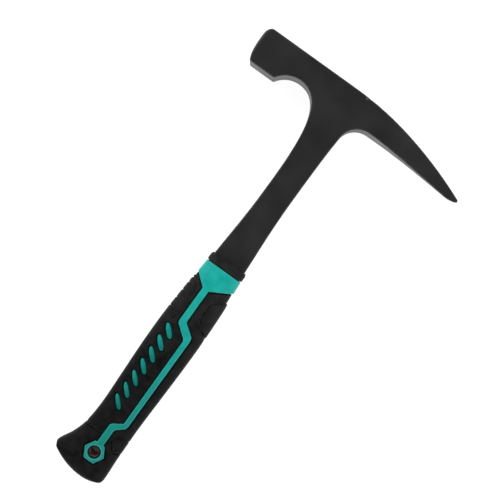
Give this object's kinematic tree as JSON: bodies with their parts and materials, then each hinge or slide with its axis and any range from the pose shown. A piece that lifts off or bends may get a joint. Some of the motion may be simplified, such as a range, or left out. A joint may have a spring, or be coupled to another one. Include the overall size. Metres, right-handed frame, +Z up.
{
  "type": "rock hammer",
  "caption": "One-piece forged rock hammer: square poll, pointed pick, slim shank and a two-material moulded grip with a flared butt and a hanging hole.",
  "frame": {"origin": "centre of the object's box in X and Y, on the surface that the hammer lies on", "axes": "+Y along the handle from the butt to the head; +X from the poll towards the pick's point; +Z up through the thickness, with the hammer lying on its side"},
  "size_m": [0.178, 0.33, 0.026],
  "materials": {
    "black_steel": "satin black coating on forged steel",
    "black_rubber": "matte moulded rubber",
    "teal_plastic": "satin moulded plastic",
    "eyelet_metal": "dull copper-coloured metal"
  },
  "bodies": {
    "root": {"forged_hammer": "black_steel", "neck_flange": "black_rubber", "grip_core": "teal_plastic", "poll_side_rubber": "black_rubber", "pick_side_rubber": "black_rubber", "butt_cap": "black_rubber", "hanging_hole_eyelet": "eyelet_metal", "eyelet_washer": "eyelet_metal"}
  },
  "joints": []
}
